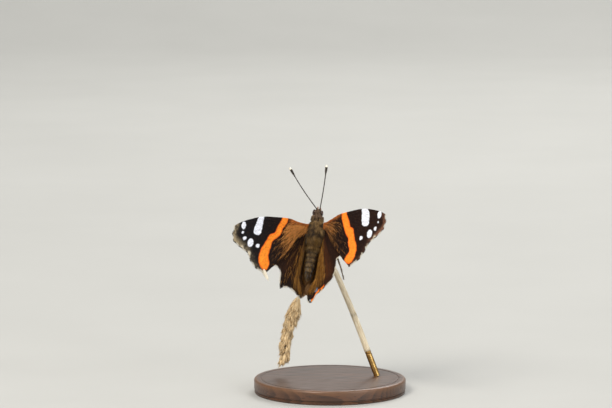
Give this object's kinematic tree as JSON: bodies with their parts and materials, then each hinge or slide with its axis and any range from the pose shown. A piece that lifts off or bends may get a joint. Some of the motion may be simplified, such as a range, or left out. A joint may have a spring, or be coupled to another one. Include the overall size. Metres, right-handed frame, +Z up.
{
  "type": "red admiral butterfly",
  "caption": "Life-size red admiral resting head up on a nodding dry grass stem, wings half raised in a V, held by a slanting rod on a round wooden base.",
  "frame": {"origin": "centre of the underside of the round stand base", "axes": "+Z up, -Y towards the viewer who sees the butterfly's back, +X to the butterfly's right"},
  "size_m": [0.048, 0.052, 0.0643],
  "materials": {
    "body_hair": "olive brown hair",
    "eye": "fine glossy facets",
    "antenna": "black, ringed, with a cream tip",
    "leg": "dark scaled horn",
    "wing": "velvety scales, black with orange bands and white spots",
    "dry_grass": "dry straw",
    "stand_metal": "aged satin brass",
    "stand_wood": "dark oiled wood"
  },
  "bodies": {
    "root": {"head": "body_hair", "thorax": "body_hair", "abdomen": "body_hair", "palp_left": "body_hair", "palp_right": "body_hair", "eye_left": "eye", "eye_right": "eye", "antenna_left": "antenna", "antenna_right": "antenna", "leg_fore_left": "leg", "leg_fore_right": "leg", "leg_mid_left": "leg", "leg_mid_right": "leg", "leg_hind_left": "leg", "leg_hind_right": "leg", "forewing_left": "wing", "forewing_right": "wing", "hindwing_left": "wing", "hindwing_right": "wing", "perch_stem": "dry_grass", "perch_neck": "dry_grass", "perch_seed_head": "dry_grass", "stand_rod": "stand_metal", "stand_base": "stand_wood"}
  },
  "joints": []
}
